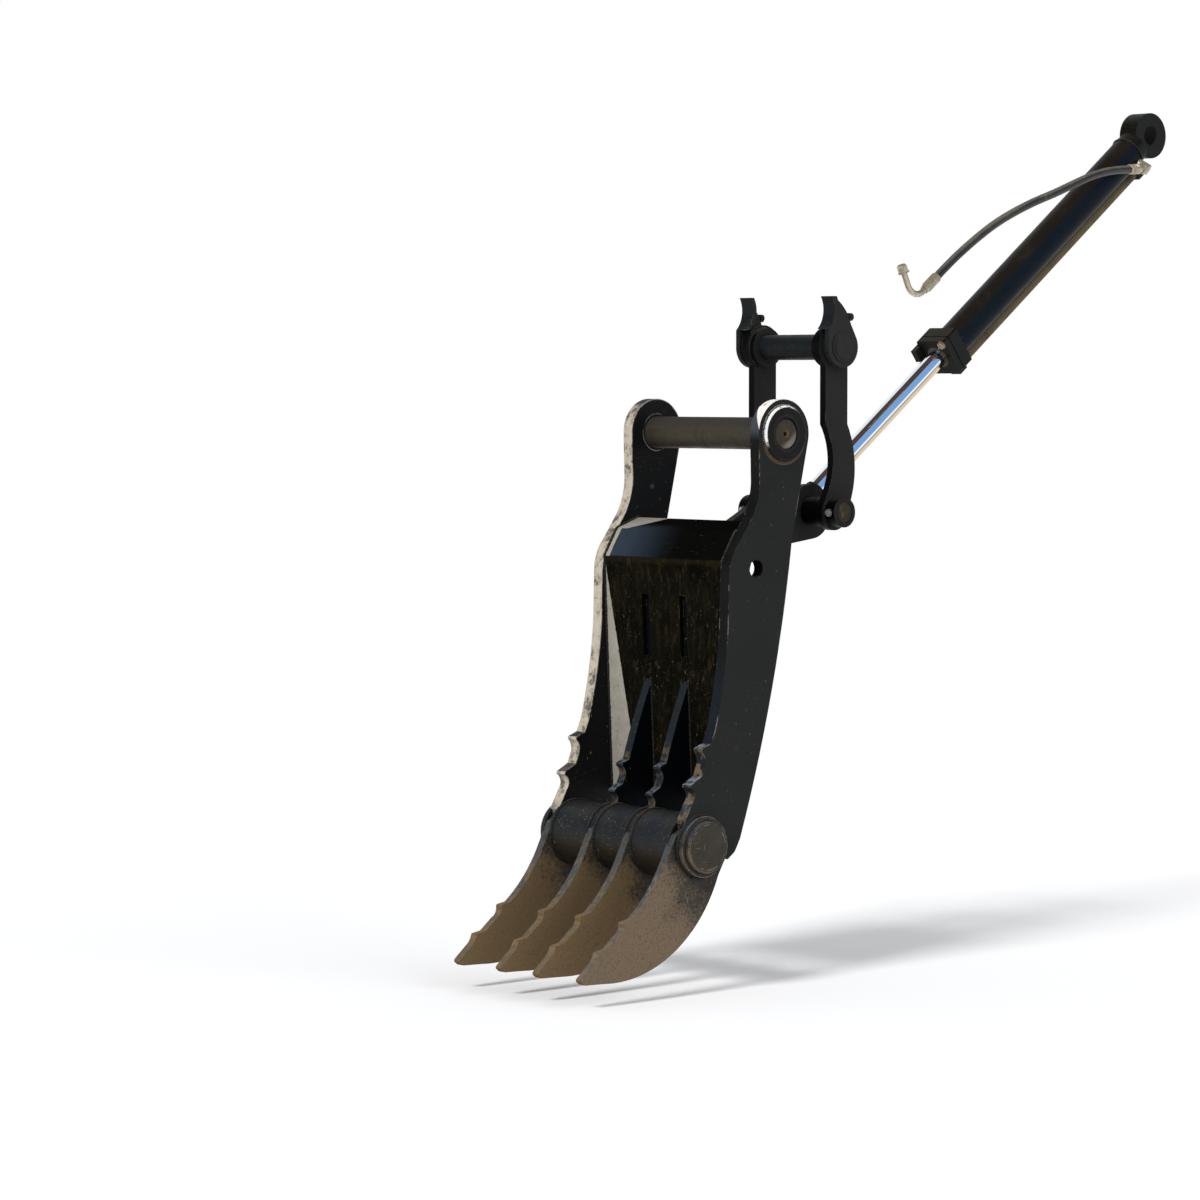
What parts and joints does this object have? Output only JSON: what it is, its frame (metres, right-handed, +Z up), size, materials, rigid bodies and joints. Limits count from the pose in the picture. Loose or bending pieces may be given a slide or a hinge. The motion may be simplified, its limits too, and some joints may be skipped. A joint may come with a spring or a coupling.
{
  "type": "hydraulic thumb",
  "caption": "Progressive link hydraulic thumb with toothed side plates, inner tines, curved claws, drive links, follower link and a chromed rod cylinder.",
  "frame": {"origin": "centre of the main pin, midway between the two ears", "axes": "+X to the machine in the working plane, +Y along the main pin to the far side, +Z up in the pose of the picture"},
  "size_m": [2.3255, 0.554, 2.18],
  "materials": {
    "black_paint": "satin black paint, dusty and worn to bright steel on edges",
    "dusty_paint": "black paint under brown dust and speckles of dried mud",
    "worn_claw": "worn steel under dry tan dust",
    "pin_steel": "dark hardened steel",
    "plated_bolts": "yellow zinc plate, dulled",
    "chrome_rod": "hard chrome, polished",
    "bush_bronze": "greased bronze",
    "piston_iron": "machined",
    "seal_rubber": "matt",
    "hose_rubber": "matt cover, dusty"
  },
  "bodies": {
    "stick_pins": {"main_pin": "pin_steel", "link_pin": "pin_steel", "link_keeper_near": "black_paint", "link_keeper_far": "black_paint", "keeper_rings": "black_paint", "keeper_bolts": "plated_bolts"},
    "thumb": {"side_plate_near": "black_paint", "side_plate_far": "black_paint", "pivot_boss_near": "black_paint", "pivot_boss_far": "black_paint", "pivot_bush_near": "bush_bronze", "pivot_bush_far": "bush_bronze", "inner_tine_near": "black_paint", "inner_tine_far": "black_paint", "face_plate": "dusty_paint", "cross_tube": "black_paint", "tube_cap_near": "black_paint", "tube_cap_far": "black_paint", "claw_outer_near": "worn_claw", "claw_outer_far": "worn_claw", "claw_inner_near": "worn_claw", "claw_inner_far": "worn_claw", "follower_pin": "pin_steel", "follower_pin_collars": "pin_steel"},
    "follower_link": {"follower_arm_near": "black_paint", "follower_arm_far": "black_paint", "follower_hub": "black_paint", "follower_web": "black_paint", "follower_hub_bush": "bush_bronze", "follower_eye_bushes": "bush_bronze"},
    "drive_links": {"drive_link_near": "black_paint", "drive_link_far": "black_paint", "link_boss_near": "black_paint", "link_boss_far": "black_paint", "link_bush_near": "bush_bronze", "link_bush_far": "bush_bronze", "knuckle_hub_near": "black_paint", "knuckle_hub_far": "black_paint", "knuckle_pin": "pin_steel", "knuckle_bolts": "plated_bolts"},
    "rod": {"rod_eye": "black_paint", "rod_eye_bush": "bush_bronze", "piston_rod": "chrome_rod", "piston": "piston_iron", "piston_seals": "seal_rubber", "piston_nut": "pin_steel"},
    "barrel": {"barrel_tube": "black_paint", "gland_block": "black_paint", "gland_bolts": "plated_bolts", "rod_wiper": "seal_rubber", "barrel_base": "black_paint", "base_bush": "bush_bronze", "transfer_tube": "black_paint", "port_fitting": "plated_bolts", "hose": "hose_rubber", "hose_ferrules": "plated_bolts", "hose_end_pipe": "plated_bolts", "hose_end_nut": "plated_bolts"}
  },
  "joints": [
    {"name": "thumb_swing", "type": "hinge", "parent": "stick_pins", "child": "thumb", "pos_m": [0, 0, 0], "axis": [0, -1, 0], "range_deg": [-25, 85]},
    {"name": "drive_link_swing", "type": "hinge", "parent": "stick_pins", "child": "drive_links", "pos_m": [0.284, 0, 0.216], "axis": [0, -1, 0], "range_deg": [-25, 85]},
    {"name": "follower_pivot", "type": "hinge", "parent": "thumb", "child": "follower_link", "pos_m": [0, 0, -0.418], "axis": [0, -1, 0], "range_deg": [-85, 25]},
    {"name": "rod_eye_pivot", "type": "hinge", "parent": "drive_links", "child": "rod", "pos_m": [0.284, 0, -0.202], "axis": [0, -1, 0], "range_deg": [-85, 25]},
    {"name": "rod_slide", "type": "slide", "parent": "rod", "child": "barrel", "axis": [0.7964, 0, 0.6048], "range_m": [-0.56172, 0.16556]}
  ],
  "couplings": [
    {"joint": "drive_link_swing", "follows": "thumb_swing", "ratio": 1},
    {"joint": "follower_pivot", "follows": "thumb_swing", "ratio": -1},
    {"joint": "rod_eye_pivot", "follows": "thumb_swing", "ratio": -1},
    {"joint": "rod_slide", "follows": "thumb_swing", "m_per_rad": -0.3783}
  ]
}
